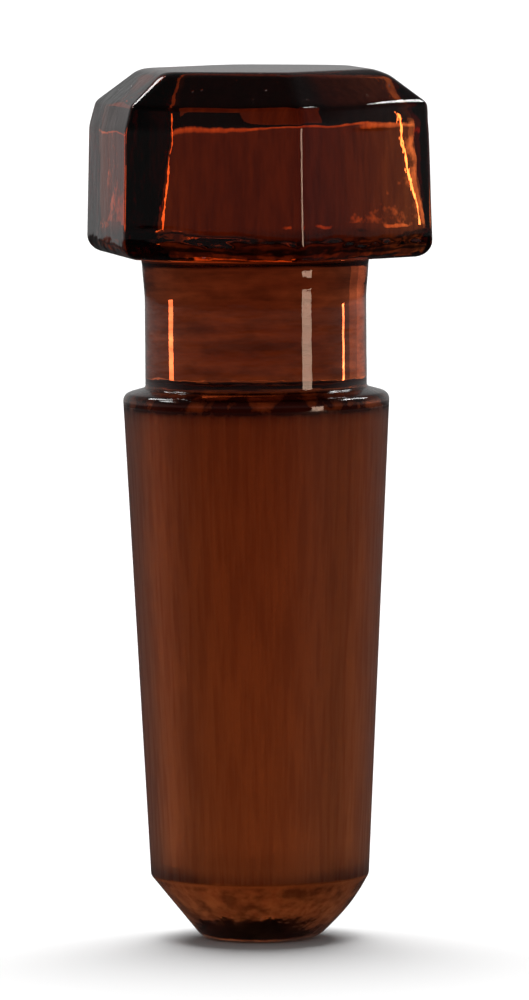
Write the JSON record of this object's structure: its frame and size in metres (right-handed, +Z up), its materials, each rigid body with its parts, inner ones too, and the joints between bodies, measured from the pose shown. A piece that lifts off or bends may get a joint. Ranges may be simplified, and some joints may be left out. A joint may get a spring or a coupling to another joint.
{
  "type": "glass stopper",
  "caption": "Solid amber glass stopper: a bevelled hexagonal head, a short plain neck and a long ground cone of 1:10 taper, on a bevelled foot.",
  "frame": {"origin": "middle of the flat foot, on the axis of the ground cone", "axes": "+Z up the axis towards the head, +X towards a corner of the hexagonal head"},
  "size_m": [0.017, 0.015, 0.0413],
  "materials": {
    "amber_glass": "clear pressed glass with fire-polished edges, ground matt on the cone"
  },
  "bodies": {
    "root": {"stopper": "amber_glass"}
  },
  "joints": []
}
